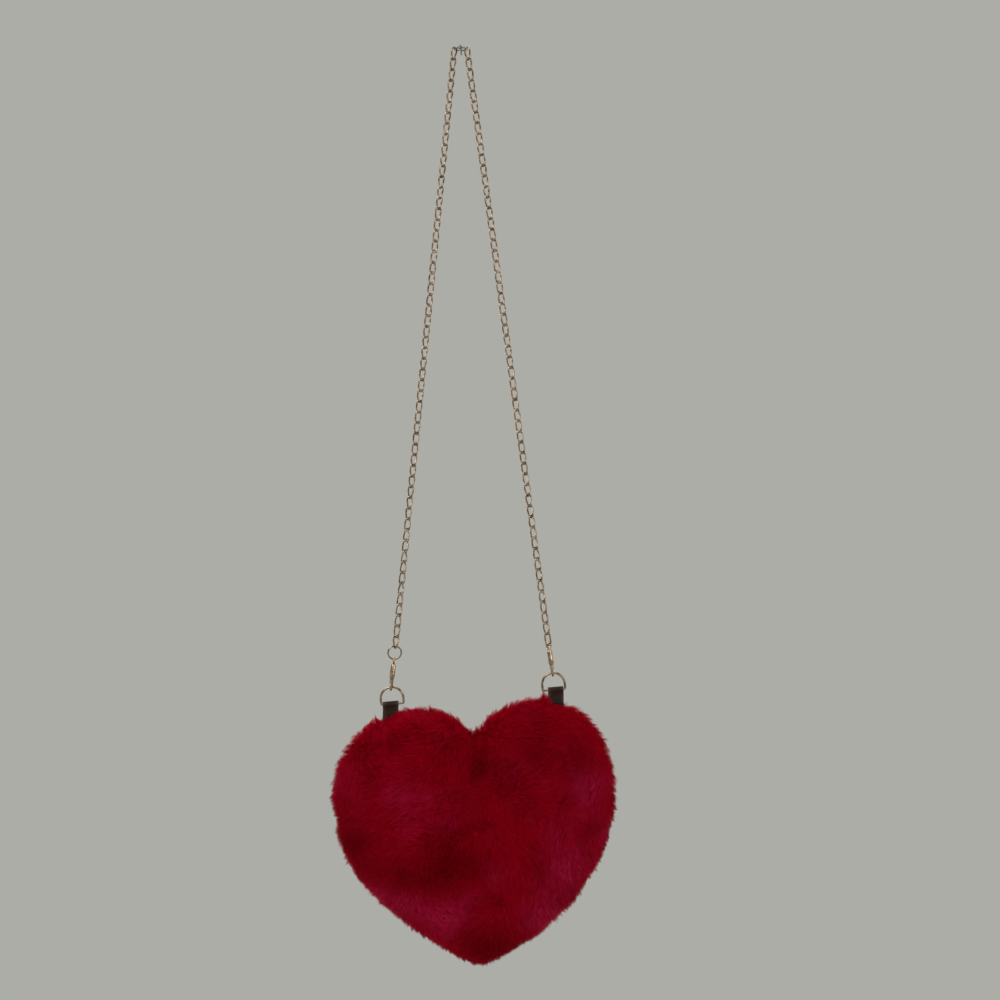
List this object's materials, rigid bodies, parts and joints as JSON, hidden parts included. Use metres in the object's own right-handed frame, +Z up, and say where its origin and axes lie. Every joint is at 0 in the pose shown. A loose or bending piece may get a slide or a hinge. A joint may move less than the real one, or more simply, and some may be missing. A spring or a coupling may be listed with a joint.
{
  "type": "heart-shaped purse",
  "caption": "Heart-shaped faux-fur purse with a zipped back pocket, hung by a detachable chain strap with snap hooks, D-rings and leather tabs.",
  "frame": {"origin": "where the peg carries the top link of the chain strap", "axes": "+Z up along the hanging purse, +X to the right of the purse seen from its front, the front faces -Y"},
  "size_m": [0.262, 0.067, 0.8622],
  "materials": {
    "chain_metal": "satin",
    "hook_metal": "satin",
    "spring_steel": "satin",
    "tab_leather": "satin",
    "red_fur": "matte",
    "foam": "matte",
    "lining": "satin",
    "zip_tape": "matte",
    "zip_metal": "satin"
  },
  "bodies": {
    "hang_link": {"top_link": "chain_metal"},
    "strap_1": {"chain_left_1": "chain_metal", "chain_right_1": "chain_metal"},
    "strap_2": {"chain_left_2": "chain_metal", "chain_right_2": "chain_metal"},
    "strap_3": {"chain_left_3": "chain_metal", "chain_right_3": "chain_metal"},
    "strap_4": {"chain_left_4": "chain_metal", "chain_right_4": "chain_metal", "jump_ring": "chain_metal"},
    "snap_hooks": {"hook_body_left": "hook_metal", "hook_body_right": "hook_metal", "gate_pin_left": "chain_metal", "gate_pin_right": "chain_metal", "gate_spring_left": "spring_steel", "gate_spring_right": "spring_steel"},
    "eye_left": {"swivel_eye_left": "hook_metal"},
    "eye_right": {"swivel_eye_right": "hook_metal"},
    "gate_left": {"hook_gate_left": "hook_metal"},
    "gate_right": {"hook_gate_right": "hook_metal"},
    "d_rings": {"d_ring_left": "chain_metal", "d_ring_right": "chain_metal"},
    "bag": {"tab_left": "tab_leather", "tab_right": "tab_leather", "front_panel": "red_fur", "back_panel": "red_fur", "seam_tape": "zip_tape", "front_padding": "foam", "back_padding": "foam", "front_lining": "lining", "back_lining": "lining", "zip_tape_ends": "zip_tape", "zip_stops": "zip_metal"},
    "mouth_upper": {"zip_tape_upper": "zip_tape", "zip_teeth_upper": "zip_metal"},
    "mouth_lower": {"zip_tape_lower": "zip_tape", "zip_teeth_lower": "zip_metal"},
    "zip_slider": {"zip_slider": "zip_metal"},
    "zip_pull": {"zip_pull": "zip_metal"}
  },
  "joints": [
    {"name": "strap_swing_1", "type": "hinge", "parent": "hang_link", "child": "strap_1", "pos_m": [0, 0, 0.00105], "axis": [1, 0, 0], "range_deg": [-30, 30]},
    {"name": "strap_swing_2", "type": "hinge", "parent": "strap_1", "child": "strap_2", "pos_m": [0, 0, -0.13818], "axis": [-1, 0, 0], "range_deg": [-60, 60]},
    {"name": "strap_swing_3", "type": "hinge", "parent": "strap_2", "child": "strap_3", "pos_m": [0, 0, -0.27861], "axis": [1, 0, 0], "range_deg": [-60, 60]},
    {"name": "strap_swing_4", "type": "hinge", "parent": "strap_3", "child": "strap_4", "pos_m": [0, 0, -0.41904], "axis": [-1, 0, 0], "range_deg": [-60, 60]},
    {"name": "hooks_swing", "type": "hinge", "parent": "strap_4", "child": "snap_hooks", "pos_m": [-0.00072, 0, -0.5655], "axis": [-0.9965, 0, -0.0834], "range_deg": [-45, 45]},
    {"name": "swivel_left", "type": "hinge", "parent": "snap_hooks", "child": "eye_left", "pos_m": [-0.07328, 0, -0.57069], "axis": [0.117, 0, 0.9931], "range_deg": [-20, 20]},
    {"name": "gate_left_opens", "type": "hinge", "parent": "snap_hooks", "child": "gate_left", "pos_m": [-0.0752, -0.00048, -0.58702], "axis": [0.9931, 0, -0.117], "range_deg": [0, 32], "stiffness_Nm_per_rad": 0.02, "springref_deg": -22.92},
    {"name": "swivel_right", "type": "hinge", "parent": "snap_hooks", "child": "eye_right", "pos_m": [0.07205, 0, -0.56026], "axis": [-0.117, 0, 0.9931], "range_deg": [-20, 20]},
    {"name": "gate_right_opens", "type": "hinge", "parent": "snap_hooks", "child": "gate_right", "pos_m": [0.07397, -0.00048, -0.57659], "axis": [0.9931, 0, 0.117], "range_deg": [0, 32], "stiffness_Nm_per_rad": 0.02, "springref_deg": -22.92},
    {"name": "rings_swing", "type": "hinge", "parent": "snap_hooks", "child": "d_rings", "pos_m": [-0.0007, 0, -0.59253], "axis": [0.9977, 0, 0.0684], "range_deg": [-60, 60]},
    {"name": "bag_swing", "type": "hinge", "parent": "d_rings", "child": "bag", "pos_m": [0.00038, 0, -0.6083], "axis": [-0.9977, 0, -0.0684], "range_deg": [-75, 75]},
    {"name": "zip_slide", "type": "slide", "parent": "bag", "child": "zip_slider", "axis": [1, 0, 0], "range_m": [-0.1404, 0]},
    {"name": "pull_flips", "type": "hinge", "parent": "zip_slider", "child": "zip_pull", "pos_m": [0.0702, 0.0231, -0.68723], "axis": [1, 0, 0], "range_deg": [0, 126]},
    {"name": "mouth_upper_opens", "type": "hinge", "parent": "bag", "child": "mouth_upper", "pos_m": [0, 0.0184, -0.67728], "axis": [1, 0, 0], "range_deg": [0, 60], "stiffness_Nm_per_rad": 0.01, "springref_deg": -11.46},
    {"name": "mouth_lower_opens", "type": "hinge", "parent": "bag", "child": "mouth_lower", "pos_m": [0, 0.0184, -0.69718], "axis": [-1, 0, 0], "range_deg": [0, 60], "stiffness_Nm_per_rad": 0.01, "springref_deg": -11.46}
  ]
}
